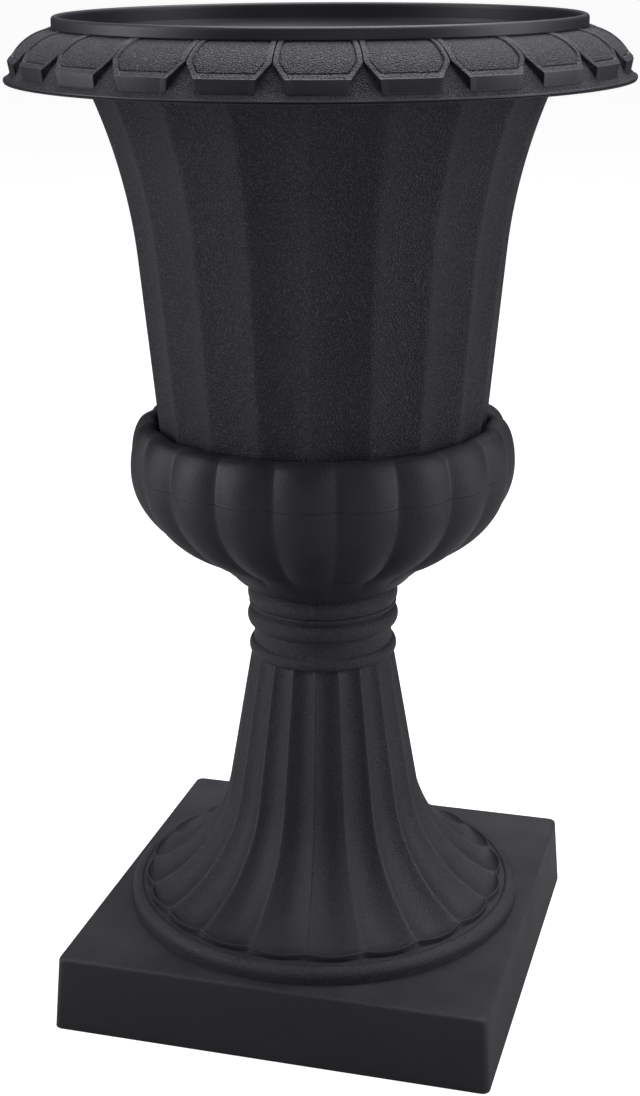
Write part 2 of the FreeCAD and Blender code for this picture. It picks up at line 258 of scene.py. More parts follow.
def press_flutes_tree():
    """Presses flutes, or lobes where the press points outwards, into a shell, and marks their arrises."""
    tree, given, out = new_tree("press flutes", {
        "Count": ("NodeSocketInt", FLUTES),
        "Phase": ("NodeSocketFloat", 0.0),
        "Edge rounding": ("NodeSocketFloat", 0.06),
        "Material": ("NodeSocketMaterial", None),
    })
    x, y = split(tree, add_node(tree, "GeometryNodeInputPosition").outputs[0])[:2]
    azimuth = maths(tree, "ARCTAN2", x, maths(tree, "MULTIPLY", y, -1.0))
    turns = maths(tree, "DIVIDE", maths(tree, "SUBTRACT", azimuth, given["Phase"]), math.tau)
    along = maths(tree, "FRACT", maths(tree, "MULTIPLY", turns, given["Count"]))
    from_middle = maths(tree, "ABSOLUTE", maths(tree, "SUBTRACT", maths(tree, "MULTIPLY", along, 2.0), 1.0))
    from_edge = maths(tree, "SUBTRACT", 1.0, from_middle)
    rounding = maths(tree, "POWER", given["Edge rounding"], 2.0)
    squares = maths(tree, "ADD", maths(tree, "POWER", from_edge, 2.0), rounding)
    soft_middle = maths(tree, "SUBTRACT", 1.0, maths(tree, "SQRT", squares))
    amount = maths(tree, "SUBTRACT", 1.0, maths(tree, "MULTIPLY", soft_middle, soft_middle))

    x_squared = maths(tree, "MULTIPLY", x, x)
    radius = maths(tree, "SQRT", maths(tree, "ADD", x_squared, maths(tree, "MULTIPLY", y, y)))
    press = add_node(tree, "GeometryNodeInputNamedAttribute", {"Name": "press"}, data_type="FLOAT_VECTOR")
    depth = split(tree, press.outputs["Attribute"])
    radial = maths(tree, "MULTIPLY", depth[0], amount)
    offset = add_node(tree, "ShaderNodeCombineXYZ", {
        0: maths(tree, "MULTIPLY", maths(tree, "DIVIDE", x, radius), radial),
        1: maths(tree, "MULTIPLY", maths(tree, "DIVIDE", y, radius), radial),
        2: maths(tree, "MULTIPLY", depth[2], amount),
    })
    pressed = add_node(tree, "GeometryNodeSetPosition", {
        "Geometry": given["Geometry"], "Offset": offset.outputs[0],
    })

    length = add_node(tree, "ShaderNodeVectorMath", {0: press.outputs["Attribute"]}, operation="LENGTH")
    fluted_here = maths(tree, "DIVIDE", length.outputs["Value"], FULL_ARRIS * MM, clamp=True)
    near_edge = maths(tree, "SUBTRACT", 1.0, maths(tree, "DIVIDE", from_edge, ARRIS_WIDTH), clamp=True)
    mark = add_node(tree, "GeometryNodeStoreNamedAttribute", {
        "Geometry": pressed.outputs[0], "Name": "arris",
        "Value": maths(tree, "MULTIPLY", near_edge, fluted_here),
    }, data_type="FLOAT")
    end_tree(tree, given, out, mark.outputs[0])
    return tree


def round_array_tree():
    """Repeats a piece round Z, turned to face outwards, and merges what meets."""
    tree, given, out = new_tree("repeat round the axis", {
        "Count": ("NodeSocketInt", RIBS),
        "First": ("NodeSocketFloat", 0.0),
        "Merge": ("NodeSocketFloat", 1e-6),
        "Material": ("NodeSocketMaterial", None),
    })
    places = add_node(tree, "GeometryNodePoints", {"Count": given["Count"]})
    index = add_node(tree, "GeometryNodeInputIndex")
    pitch = maths(tree, "DIVIDE", math.tau, given["Count"])
    turn = maths(tree, "ADD", maths(tree, "MULTIPLY", index.outputs[0], pitch), given["First"])
    copies = add_node(tree, "GeometryNodeInstanceOnPoints", {
        "Points": places.outputs[0], "Instance": given["Geometry"],
        "Rotation": add_node(tree, "ShaderNodeCombineXYZ", {2: turn}).outputs[0],
    })
    end_tree(tree, given, out, copies.outputs[0], merge=given["Merge"])
    return tree


def settled(piece):
    """Keeps what a piece's modifiers make of it as its own plain mesh."""
    seen = piece.evaluated_get(bpy.context.evaluated_depsgraph_get())
    piece.data = bpy.data.meshes.new_from_object(seen)
    piece.modifiers.clear()
    piece.data.name = piece.name
    return piece


def made_by(piece, tree, **values):
    """Runs a tree on a piece with the named inputs, whose names have _ for a space."""
    modifier = piece.modifiers.new(tree.name, "NODES")
    modifier.node_group = tree
    for item in tree.interface.items_tree:
        label = item.name.replace(" ", "_")
        if item.in_out == "INPUT" and label in values:
            modifier[item.identifier] = values[label]
    bpy.context.view_layer.update()
    return settled(piece)


PRESS_FLUTES = press_flutes_tree()
ROUND_ARRAY = round_array_tree()


def fluted(piece, phase, rounding, material):
    """Presses the flutes into a turned piece, the first arris at the phase in degrees."""
    return made_by(piece, PRESS_FLUTES, Count=FLUTES, Phase=math.radians(phase), Edge_rounding=rounding,
                   Material=material)


# ---- shader node groups

def new_group(name, inputs, outputs):
    """Shader node group with the sockets given to it and those it fills. Inputs have default numbers."""
    group = bpy.data.node_groups.new(name, "ShaderNodeTree")
    group.interface.new_socket("Vector", in_out="INPUT", socket_type="NodeSocketVector")
    for label, default in inputs.items():
        item = group.interface.new_socket(label, in_out="INPUT", socket_type="NodeSocketFloat")
        item.default_value = default
    for label in outputs:
        group.interface.new_socket(label, in_out="OUTPUT", socket_type="NodeSocketFloat")
    return group, group.nodes.new("NodeGroupInput").outputs, group.nodes.new("NodeGroupOutput").inputs


def noise(tree, vector, scale, detail=2.0, roughness=0.5):
    """Noise texture's value. The scale is a socket or a number of cells per metre."""
    inputs = {"Vector": vector, "Scale": scale, "Detail": detail, "Roughness": roughness}
    return add_node(tree, "ShaderNodeTexNoise", inputs).outputs["Fac"]


def remap(tree, value, low, high, to_low=0.0, to_high=1.0):
    """Value stretched from one range to another, held within it."""
    inputs = {"Value": value, "From Min": low, "From Max": high, "To Min": to_low, "To Max": to_high}
    return add_node(tree, "ShaderNodeMapRange", inputs, clamp=True).outputs[0]


def sand_grain_group():
    """Moulded-in sand grain: rounded pips of one size with finer noise between them."""
    group, given, out = new_group("sand grain", {"Pip size": 1.0 * MM, "Fine part": 0.35},
                                  ["Height", "Glint"])
    per_metre = maths(group, "DIVIDE", 1.0, given["Pip size"])
    pips = add_node(group, "ShaderNodeTexVoronoi", {
        "Vector": given["Vector"], "Scale": per_metre, "Smoothness": 0.35,
    }, feature="SMOOTH_F1")
    domes = maths(group, "SUBTRACT", 1.0, pips.outputs["Distance"])
    fine = noise(group, given["Vector"], per_metre, 3.0, 0.65)
    height = maths(group, "ADD", domes, maths(group, "MULTIPLY", fine, given["Fine part"]))
    join(group, height, out["Height"])
    # Glint marks where the grain is made glossier and painted paler, as painted glints.
    join(group, remap(group, fine, 0.51, 0.63), out["Glint"])
    return group


def mottle_group():
    """Cloudy unevenness of a moulded skin, with a finer orange peel."""
    group, given, out = new_group("moulded mottle", {"Cloud size": 40 * MM, "Peel size": 2.2 * MM},
                                  ["Cloud", "Peel"])
    where = given["Vector"]
    clouds = noise(group, where, maths(group, "DIVIDE", 1.0, given["Cloud size"]), 3.0)
    peel = noise(group, where, maths(group, "DIVIDE", 1.0, given["Peel size"]), 2.0)
    join(group, remap(group, clouds, 0.35, 0.65), out["Cloud"])
    join(group, peel, out["Peel"])
    return group


def mould_line_group():
    """Thin broken line where two halves of a mould met, from a distance in metres."""
    group, given, out = new_group("mould line", {"Distance": 0.0, "Width": 0.5 * MM}, ["Line"])
    away = maths(group, "ABSOLUTE", given["Distance"])
    line = maths(group, "SUBTRACT", 1.0, maths(group, "DIVIDE", away, given["Width"]), clamp=True)
    breaks_per_metre = 90.0
    broken = remap(group, noise(group, given["Vector"], breaks_per_metre), 0.38, 0.55, 0.15, 1.0)
    join(group, maths(group, "MULTIPLY", line, broken), out["Line"])
    return group


def dust_and_top_light_group():
    """Thin pale dust that lies on what faces up, patchy, and with it painted top light: what faces up is
    painted paler, as if lit from above.
    """
    group, given, out = new_group("dust and painted top light", {"Patch size": 25 * MM, "Amount": 0.5}, ["Dust"])
    geometry = group.nodes.new("ShaderNodeNewGeometry")
    facing_up = remap(group, split(group, geometry.outputs["Normal"])[2], 0.35, 1.0)
    per_metre = maths(group, "DIVIDE", 1.0, given["Patch size"])
    patches = noise(group, given["Vector"], per_metre, 5.0)
    patchy = maths(group, "MULTIPLY", facing_up, remap(group, patches, 0.3, 0.75))
    join(group, maths(group, "MULTIPLY", patchy, given["Amount"]), out["Dust"])
    return group


SAND_GRAIN = sand_grain_group()
MOTTLE = mottle_group()
MOULD_LINE = mould_line_group()
DUST_AND_TOP_LIGHT = dust_and_top_light_group()


# ---- materials

PLASTIC_GLOSS = 0.35     # specular level of every plastic


def new_material(name, gloss=PLASTIC_GLOSS):
    """Material with its node tree, the shader's inputs and object coordinates."""
    material = bpy.data.materials.new(name)
    material.use_nodes = True
    tree = material.node_tree
    shader = tree.nodes["Principled BSDF"].inputs
    shader["Specular IOR Level"].default_value = gloss
    where = tree.nodes.new("ShaderNodeTexCoord").outputs["Object"]
    return material, tree, shader, where


def use_group(tree, group, vector, **values):
    """Outputs of a shader node group with its own values, whose names have _ for a space."""
    inputs = {label.replace("_", " "): value for label, value in values.items()}
    return add_node(tree, "ShaderNodeGroup", {"Vector": vector, **inputs}, node_tree=group).outputs


def colour_mix(tree, amount, low, high):
    """Colour between two, each a colour or a socket, by an amount socket."""
    node = add_node(tree, "ShaderNodeMix", {"Factor": amount}, data_type="RGBA")
    for label, value in (("A", low), ("B", high)):
        socket = [s for s in node.inputs if s.name == label and s.type == "RGBA"][0]
        if isinstance(value, tuple):
            socket.default_value = (*value, 1.0)
        else:
            join(tree, value, socket)
    return [s for s in node.outputs if s.type == "RGBA"][0]


def bump(tree, height, distance, strength=1.0, under=None):
    """Normal bent by a height times a distance in metres, over another normal where one is given."""
    inputs = {"Height": height, "Distance": distance, "Strength": strength}
    if under:
        inputs["Normal"] = under
    return add_node(tree, "ShaderNodeBump", inputs).outputs[0]


CHARCOAL = (0.0082, 0.0078, 0.0104)
CHARCOAL_PALE = (0.0128, 0.0122, 0.0158)
WARM_CHARCOAL = (0.0156, 0.0124, 0.0148)
BOWL_CHARCOAL = (0.0098, 0.0094, 0.0124)
BOWL_PALE = (0.0150, 0.0144, 0.0186)
# Painted highlight along the arrises and the tiles' edges and borders, and painted light in the grooves
# between the tiles.
PAINTED_EDGE_LIGHT = (0.0210, 0.0205, 0.0245)     # along the arrises
SEAM = (0.0040, 0.0040, 0.0050)
# Pale dust, which also paints the light that falls on what faces up.
DUST_AND_TOP_LIGHT_TONE = (0.078, 0.078, 0.083)
# Painted glints: a pale colour on the grain's pips that stands in for their sparkle of light.
PAINTED_GLINT = (0.062, 0.062, 0.074)


def painted(tree, label):
    """Number stored on the mesh under a name."""
    return add_node(tree, "ShaderNodeAttribute", attribute_name=label).outputs["Fac"]


def grained_plastic():
    """Bowl: charcoal plastic, smooth on the collar and edges, elsewhere with a sand grain that is glossier on
    its pips and has painted glints on them; with painted highlights on the tiles' edges and borders, painted
    light in the grooves between the tiles, and dust with painted top light on what faces up.
    """
    material, tree, shader, where = new_material("charcoal plastic, sand grain")
    grained = painted(tree, "grain")
    grain = use_group(tree, SAND_GRAIN, where, Pip_size=0.85 * MM, Fine_part=0.8)
    mottle = use_group(tree, MOTTLE, where, Cloud_size=55 * MM, Peel_size=2.4 * MM)
    dust_and_light = use_group(tree, DUST_AND_TOP_LIGHT, where, Patch_size=20 * MM, Amount=0.10)
    colour = colour_mix(tree, mottle["Cloud"], BOWL_CHARCOAL, BOWL_PALE)
    # Painted highlights on the tiles' edges and borders, and painted light in the grooves between them.
    colour = colour_mix(tree, painted(tree, "painted_light"), colour, PAINTED_EDGE_LIGHT)
    # Painted glints on the grained places.
    colour = colour_mix(tree, maths(tree, "MULTIPLY", grain["Glint"], grained), colour, PAINTED_GLINT)
    # Dust with painted top light on what faces up.
    colour = colour_mix(tree, dust_and_light["Dust"], colour, DUST_AND_TOP_LIGHT_TONE)
    join(tree, colour, shader["Base Color"])
    rough = maths(tree, "MULTIPLY", grained, remap(tree, grain["Glint"], 0.0, 1.0, 0.16, 0.04))
    join(tree, maths(tree, "ADD", rough, 0.48), shader["Roughness"])
    peel = bump(tree, mottle["Peel"], 0.05 * MM, 0.5)
    height = maths(tree, "MULTIPLY", grain["Height"], grained)
    join(tree, bump(tree, height, 1.3 * MM, 1.0, peel), shader["Normal"])
    return material


def seam_distance(tree, where, axis, start, turn):
    """Distance in metres from a mould line across an axis at a start, after a turn round Z in degrees."""
    inputs = {"Vector": where, "Rotation": (0.0, 0.0, math.radians(turn))}
    turned_to = add_node(tree, "ShaderNodeMapping", inputs).outputs[0]
    return maths(tree, "SUBTRACT", split(tree, turned_to)[axis], start)


def satin_plastic(name, grain_depth, axis, start=0.0, turn=0.0):
    """Cup, neck and stem: satin plastic, finely grained with painted glints, with a mould line, painted
    highlights along the edges of the flutes and lobes, and dust with painted top light where it faces up.
    """
    material, tree, shader, where = new_material(name)
    mottle = use_group(tree, MOTTLE, where, Cloud_size=38 * MM, Peel_size=1.8 * MM)
    grain = use_group(tree, SAND_GRAIN, where, Pip_size=0.95 * MM, Fine_part=0.9)
    dust_and_light = use_group(tree, DUST_AND_TOP_LIGHT, where, Patch_size=30 * MM, Amount=0.16)
    away = seam_distance(tree, where, axis, start, turn)
    seam = use_group(tree, MOULD_LINE, where, Width=0.9 * MM, Distance=away)
    colour = colour_mix(tree, mottle["Cloud"], CHARCOAL, CHARCOAL_PALE)
    # Painted highlights along the edges of the flutes and lobes.
    colour = colour_mix(tree, painted(tree, "arris"), colour, PAINTED_EDGE_LIGHT)
    # Painted glints, more of them where the grain is deeper.
    painted_glint_amount = maths(tree, "MULTIPLY", grain["Glint"], grain_depth / (0.9 * MM))
    colour = colour_mix(tree, painted_glint_amount, colour, PAINTED_GLINT)
    # Dust with painted top light on what faces up.
    colour = colour_mix(tree, dust_and_light["Dust"], colour, DUST_AND_TOP_LIGHT_TONE)
    join(tree, colour_mix(tree, seam["Line"], colour, SEAM), shader["Base Color"])
    join(tree, remap(tree, mottle["Cloud"], 0.0, 1.0, 0.54, 0.64), shader["Roughness"])
    peel = bump(tree, mottle["Peel"], 0.10 * MM, 0.5)
    skin = bump(tree, grain["Height"], grain_depth, 1.0, peel)
    join(tree, bump(tree, seam["Line"], 0.25 * MM, 1.0, skin), shader["Normal"])
    return material


def plinth_plastic():
    """Plinth: the satin plastic with no mould line, a little warmer, with more dust and painted top light
    where it faces up.
    """
    material, tree, shader, where = new_material("charcoal plastic, plinth")
    mottle = use_group(tree, MOTTLE, where, Cloud_size=60 * MM, Peel_size=1.6 * MM)
    grain = use_group(tree, SAND_GRAIN, where, Pip_size=0.9 * MM, Fine_part=0.9)
    dust_and_light = use_group(tree, DUST_AND_TOP_LIGHT, where, Patch_size=35 * MM, Amount=0.20)
    colour = colour_mix(tree, mottle["Cloud"], WARM_CHARCOAL, CHARCOAL_PALE)
    # Dust with painted top light on what faces up.
    colour = colour_mix(tree, dust_and_light["Dust"], colour, DUST_AND_TOP_LIGHT_TONE)
    join(tree, colour, shader["Base Color"])
    join(tree, remap(tree, mottle["Cloud"], 0.0, 1.0, 0.58, 0.66), shader["Roughness"])
    join(tree, bump(tree, grain["Height"], 0.16 * MM, 1.0), shader["Normal"])
    return material


def blotched(name, dark, pale, roughness, clouds, peel, gloss=PLASTIC_GLOSS, metallic=0.0):
    """Small parts: blotchy colour and roughness over a fine peel, given as (size, depth, strength)."""
    material, tree, shader, where = new_material(name, gloss)
    peel_size, peel_depth, peel_strength = peel
    mottle = use_group(tree, MOTTLE, where, Cloud_size=clouds, Peel_size=peel_size)
    cloud = mottle["Cloud"]
    join(tree, colour_mix(tree, cloud, dark, pale), shader["Base Color"])
    join(tree, remap(tree, cloud, 0.0, 1.0, *roughness), shader["Roughness"])
    join(tree, bump(tree, mottle["Peel"], peel_depth, peel_strength), shader["Normal"])
    shader["Metallic"].default_value = metallic
    return material


GRAINED = grained_plastic()
CUP_SATIN = satin_plastic("charcoal plastic, cup", 0.14 * MM, axis=2, start=0.3835)
NECK_SATIN = satin_plastic("charcoal plastic, neck", 0.50 * MM, axis=0, turn=-10.0)
STEM_SATIN = satin_plastic("charcoal plastic, stem", 0.34 * MM, axis=0, turn=-10.0)
PLINTH = plinth_plastic()
ZINC = blotched("zinc-plated steel", (0.50, 0.51, 0.52), (0.66, 0.67, 0.66), roughness=(0.26, 0.42),
                clouds=4 * MM, peel=(0.5 * MM, 0.03 * MM, 0.5), gloss=0.5, metallic=1.0)
RUBBER = blotched("black rubber", (0.014, 0.014, 0.014), (0.040, 0.039, 0.038), roughness=(0.62, 0.78),
                  clouds=6 * MM, peel=(0.8 * MM, 0.06 * MM, 0.6))


# ---- bowl

TAPER = math.radians(5.3)     # of the wall below its flare
BOWL_FOOT_R = 107.1
FLARE_Z = 527.0               # where the flare begins
FLARE_R = 354.0               # of the flare's arc
FLUTE_DEPTH = 0.036           # as a part of the radius
FLUTE_FADE = 9.0              # below the lip, over which the flutes fade out
TAPER_STEP, FLARE_STEP = 7.0, 3.5     # between rows of the mesh
COLLAR_R = 171.2
COLLAR_T = 4.7                # thickness
COLLAR_FOOT_Z = 669.0
FLANGE_Z = 639.0              # of its underside
LIP_JOIN = (158.6, 646.0)     # where the wall meets the lip's underside
COLLAR_JOIN = (COLLAR_R - COLLAR_T, 668.0)    # where the inside meets the collar
SECTOR = 360.0 / TILES
SEAM_MERGE = 0.02 * MM        # within which points of two mouldings become one


def bowl_radius(z):
    """Radius of the bowl at its arrises."""
    taper_r = BOWL_FOOT_R + (min(z, FLARE_Z) - BOWL_FOOT_Z) * math.tan(TAPER)
    if z <= FLARE_Z:
        return taper_r
    lean = math.asin(math.sin(TAPER) + (z - FLARE_Z) / FLARE_R)
    return taper_r + FLARE_R * (math.cos(TAPER) - math.cos(lean))


def bowl_inside(z):
    """Radius of the bowl's smooth inside."""
    return bowl_radius(z) * (1 - FLUTE_DEPTH) - WALL


def bowl_wall_rows():
    """Outline from the lip's underside down the outside, over the floor and up the inside, with its press."""
    outside = [LIP_JOIN]
    press = [(0.0, 0.0)]
    z = LIP_JOIN[1] - 3.0
    while z > BOWL_FOOT_Z + 2.0:
        r = bowl_radius(z)
        fade = min(1.0, (LIP_JOIN[1] - z) / FLUTE_FADE)
        outside.append((r, z))
        press.append((-r * FLUTE_DEPTH * fade, 0.0))
        z -= FLARE_STEP if z > FLARE_Z else TAPER_STEP
    outside += [(BOWL_FOOT_R, BOWL_FOOT_Z + 1.8), (BOWL_FOOT_R - 0.5, BOWL_FOOT_Z + 0.5),
                (BOWL_FOOT_R - 1.8, BOWL_FOOT_Z)]
    press += [(-BOWL_FOOT_R * FLUTE_DEPTH, 0.0)] * 3
    hole_r = PLUG_R + GAP
    floor_z = BOWL_FOOT_Z + WALL
    inside_r = bowl_inside(floor_z)
    floor = [(95.0, BOWL_FOOT_Z), (60.0, BOWL_FOOT_Z), (hole_r + 0.4, BOWL_FOOT_Z),
             (hole_r, BOWL_FOOT_Z + 0.4), (hole_r, floor_z - 0.4), (hole_r + 0.4, floor_z), (60.0, floor_z),
             (inside_r - 4.0, floor_z), (inside_r - 1.2, floor_z + 1.0), (inside_r, floor_z + 4.0)]
    heights = (380, 420, 460, 500, 527, 545, 560, 575, 590, 605, 620, 632, 640)
    inside = [(bowl_inside(z), z) for z in heights]
    inside += arc_points(inside[-1], (156.8, 654.0), COLLAR_JOIN, 6.0)
    rows = outside + floor + inside
    return rows, press


TILE_TOP = (COLLAR_R, 671.5)
TILE_MIDDLE = (188.8, 664.0)
TILE_EDGE = (198.7, 651.6)
TILE_BROW = (199.5, 652.6)    # the lower border's edge, over the tile's upright face
TILE_FOOT = (198.3, 644.4)
TILE_DRAFT = 0.12             # by which the upright face narrows downwards
SHOULDER = (192.1, 660.8)     # where a tile's chamfered corners begin
TILE_LOWER_HALF = 17.7        # half the upright face's width
GROOVE = 0.9                  # between tiles
GROOVE_SPREAD = 0.25          # by which a tile's side leans out into the groove
EDGE_SOFT = 0.4               # rounding of the tile's edges
BORDER = 3.0                  # width round the panel
CHAMFER_BORDER = 1.17         # times as wide on the chamfers
RIDGE = 0.12                  # by which the border stands up
PANEL_FOOT_Z = 655.4          # where the sunk panel ends above the lower border
PANEL_DEPTH = 0.6
CUT_DEPTH = 1.6               # of the line cut round the panel
CUT_START, CUT_MIDDLE, CUT_END = 0.3, -0.4, -1.3      # across that line, from the border's inner edge

# How strongly each column of the lip's mesh is grained, which also sets its painted glints, and how strongly
# painted light lightens it, from the groove to the tile's middle.
HALF_COLUMNS = BOWL_COLUMNS // TILES // 2
GAP_GRAIN = [1.0, 1.0, 0.7] + [0.0] * (HALF_COLUMNS - 2)
TILE_GRAIN = [0.0] * 4 + [0.6, 0.6, 0.2] + [1.0] * (HALF_COLUMNS - 6)
# Painted light: highlights on the tile's edge and border ridge, and lightening in the groove, where there
# would be shade.
TILE_PAINTED_LIGHT = [0.8, 0.8, 0.4, 0.2, 0.7, 0.6] + [0.0] * (HALF_COLUMNS - 5)
STRIP_ROWS = 3                # of the mesh, between the tiles' feet and the flange's edge
STRIP_GRAIN = 0.8


def tile_half(r, z):
    """Half the width of a tile at a place on its edge, in millimetres."""
    sector_sine = math.sin(math.radians(SECTOR / 2))
    full = r * sector_sine - GROOVE / 2
    if z > SHOULDER[1]:
        return full
    at_shoulder = SHOULDER[0] * sector_sine - GROOVE / 2
    down = (SHOULDER[1] - z) / (SHOULDER[1] - TILE_EDGE[1])
    if down > 1.0:
        return TILE_LOWER_HALF - TILE_DRAFT * (TILE_EDGE[1] - z)
    return at_shoulder + (TILE_LOWER_HALF - at_shoulder) * down


def degrees(width, r):
    """Azimuth at which a radius has a width."""
    return math.degrees(math.asin(min(1.0, width / r)))


def tile_columns(tile_at, back_at, normal, groove=0.0, panel=0.0):
    """One row of the lip, from the middle of a groove to the middle of a tile, as (radius, height, azimuth).

    The groove is the depth of the line cut round the panel, and the panel is the panel's own depth.
    """
    r, z = tile_at
    half = tile_half(r, z)
    inner = half - (BORDER if z > SHOULDER[1] else BORDER * CHAMFER_BORDER)
    cut = (r - normal[0] * groove, z - normal[1] * groove)
    low = (r - normal[0] * panel, z - normal[1] * panel)
    soft = (r - normal[0] * EDGE_SOFT, z - normal[1] * EDGE_SOFT)
    edge = SECTOR / 2
    foot_azimuth = min(degrees(half + GROOVE_SPREAD, back_at[0]), edge - 0.03)
    panel_azimuth = degrees(inner + CUT_END, low[0])
    ridge = (r + normal[0] * RIDGE, z + normal[1] * RIDGE)
    row = [
        (*back_at, edge),
        (*back_at, (edge + foot_azimuth) / 2),
        (*back_at, foot_azimuth),
        (*soft, degrees(half, soft[0])),
        (*ridge, degrees(half - EDGE_SOFT, r)),
        (*ridge, degrees(inner + CUT_START, r)),
        (*cut, degrees(inner + CUT_MIDDLE, cut[0])),
        (*low, panel_azimuth),
    ]
    rest = HALF_COLUMNS - len(row) + 1
    row += [(*low, panel_azimuth * (1 - (i + 1) / rest)) for i in range(rest)]
    return row


def plain_columns(point, azimuths, evenness):
    """One row with no relief. Evenness 1 spaces the columns evenly, 0 keeps the given azimuths."""
    row = []
    for i, azimuth in enumerate(azimuths):
        even = SECTOR / 2 * (1 - i / HALF_COLUMNS)
        row.append((*point, azimuth + (even - azimuth) * evenness))
    return row


def mirrored(half):
    """Amounts for a whole row of a tile, from those of its columns up to the middle."""
    return half + half[-2::-1]


def lip_sector():
    """One tile's width of the lip, from inside the collar over the tile and flange to the underside."""
    tile_line = trace(TILE_TOP, (TILE_MIDDLE, TILE_EDGE), step=1.8)
    back_line = trace((COLLAR_R, COLLAR_FOOT_Z + 1.2), ((187.8, 661.8), (195.4, 651.6)), step=0.45)
    normals = outward_normals(tile_line)
    rows = []
    grain = []
    last = len(tile_line) - 1
    panel_end = max(i for i, point in enumerate(tile_line) if point[1] > PANEL_FOOT_Z)
    for i, point in enumerate(tile_line[:panel_end + 1]):
        back = back_line[round(i / last * (len(back_line) - 1))]
        rows.append(tile_columns(point, back, normals[i], CUT_DEPTH, PANEL_DEPTH))
        grain.append(1.0)
    edge_r, edge_z = TILE_BROW
    foot_r, foot_z = TILE_FOOT
    top_r, top_z = tile_line[panel_end]
    slant = normals[panel_end]
    cut_at = (top_r + 0.45, top_z - 0.55)
    rows.append(tile_columns(cut_at, (194.6, 653.4), slant, CUT_DEPTH, CUT_DEPTH))
    grain.append(0.4)
    for point, back in (
        ((top_r + 0.95, top_z - 1.05), (194.8, 653.0)),
        ((top_r * 0.5 + edge_r * 0.5, top_z * 0.5 + edge_z * 0.5), (195.2, 652.2)),
        ((edge_r - 0.35, edge_z + 0.35), (195.5, 651.6)),
        ((edge_r, edge_z - 0.1), (195.7, 651.2)),
        ((edge_r, edge_z - 0.6), (195.9, 650.8)),
        (((edge_r + foot_r) / 2, (edge_z + foot_z) / 2), (197.0, 648.4)),
        ((foot_r, foot_z + 0.7), (198.0, 645.8)),
        ((foot_r + 0.4, foot_z + 0.1), (198.4, 645.0)),
    ):
        rows.append(tile_columns(point, back, (1.0, 0.0)))
        grain.append(0.5 if point[1] > edge_z else 0.0)

    rim = trace(
        COLLAR_JOIN, (COLLAR_R - COLLAR_T, TOTAL_H - COLLAR_T / 2),
        ((COLLAR_R - COLLAR_T / 2, TOTAL_H), (COLLAR_R, TOTAL_H - COLLAR_T / 2)),
        (COLLAR_R, TILE_TOP[1] + 0.5), step=1.2,
    )
    first = [azimuth for _, _, azimuth in rows[0]]
    above = [plain_columns(point, first, 1 - i / (len(rim) - 1)) for i, point in enumerate(rim)]
    under = trace(
        (FLANGE_R - 3.9, 644.0), (FLANGE_R - 1.7, 641.8), (FLANGE_R - 1.6, 641.2), (FLANGE_R - 0.9, 641.5),
        ((FLANGE_R - 0.2, 641.2), (FLANGE_R, 640.6)), (FLANGE_R - 0.6, 640.2), (FLANGE_R - 0.1, 639.9),
        ((FLANGE_R - 0.4, 639.2), (FLANGE_R - 1.5, FLANGE_Z)),
        (196.6, FLANGE_Z), ((187.0, 656.2), (173.0, COLLAR_FOOT_Z - WALL - 1.4)), LIP_JOIN, step=2.2,
    )
    final = [azimuth for _, _, azimuth in rows[-1]]
    below = [plain_columns(point, final, i / (len(under) - 1)) for i, point in enumerate(under)]
    verts = []
    for row in above + rows + below:
        verts += [place(r, z, -azimuth) for r, z, azimuth in row]
        verts += [place(r, z, azimuth) for r, z, azimuth in reversed(row[:-1])]
    columns = 2 * HALF_COLUMNS + 1
    sector = new_piece("lip_sector", verts, grid_faces(len(verts) // columns, columns, False, False))
    plain_above = [0.0] * (columns * len(above))
    amounts = list(plain_above)
    for panel in grain:
        amounts += mirrored([a + panel * b for a, b in zip(GAP_GRAIN, TILE_GRAIN)])
    amounts += [STRIP_GRAIN] * (columns * STRIP_ROWS) + [0.0] * (columns * (len(below) - STRIP_ROWS))
    store(sector, "grain", amounts)
    store(sector, "arris", [0.0] * len(amounts))
    # Painted light on the tiles' edges and borders and in the grooves between them.
    painted_light = plain_above + mirrored(TILE_PAINTED_LIGHT) * len(rows)
    store(sector, "painted_light", painted_light + [0.0] * (columns * len(below)))
    return sector


def make_bowl():
    """Bowl as one closed mesh: fluted wall and floor, joined to the ring of tiles."""
    rows, press = bowl_wall_rows()
    wall = turned("bowl_moulding", rows, evenly(BOWL_COLUMNS, -SECTOR / 2), press, closed=False)
    outer_rows = len([1 for radial, _ in press if radial])
    grained = [1.0 if 0 < i <= outer_rows else 0.0 for i in range(len(rows))]
    store(wall, "grain", [amount for amount in grained for _ in range(BOWL_COLUMNS)])
    fluted(wall, BOWL_PHASE, 0.05, GRAINED)
    # No painted light on the bowl's wall.
    store(wall, "painted_light", [0.0] * len(wall.data.vertices))
    lip = lip_sector()
    made_by(lip, ROUND_ARRAY, Count=TILES, First=0.0, Merge=SEAM_MERGE, Material=GRAINED)
    return joined(wall, lip)


def joined(piece, other):
    """Adds another piece's mesh to this one and closes the seam between them."""
    work = bmesh.new()
    work.from_mesh(piece.data)
    work.from_mesh(other.data)
    bmesh.ops.remove_doubles(work, verts=work.verts, dist=SEAM_MERGE)
    work.to_mesh(piece.data)
    work.free()
    piece.data.shade_smooth()
    bpy.data.objects.remove(other)
    return piece


def finish_piece(piece, body, nodes, material, sharp=None):
    """Gives a piece its material and body, and hides the CAD nodes that it stands for."""
    piece.data.materials.clear()
    piece.data.materials.append(material)
    if sharp:
        piece.data.set_sharp_from_angle(angle=math.radians(sharp))
    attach(piece, body)
    if nodes:
        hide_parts(*nodes)


bowl = make_bowl()
finish_piece(bowl, "bowl", ["bowl"], GRAINED, sharp=42)


# ---- cup

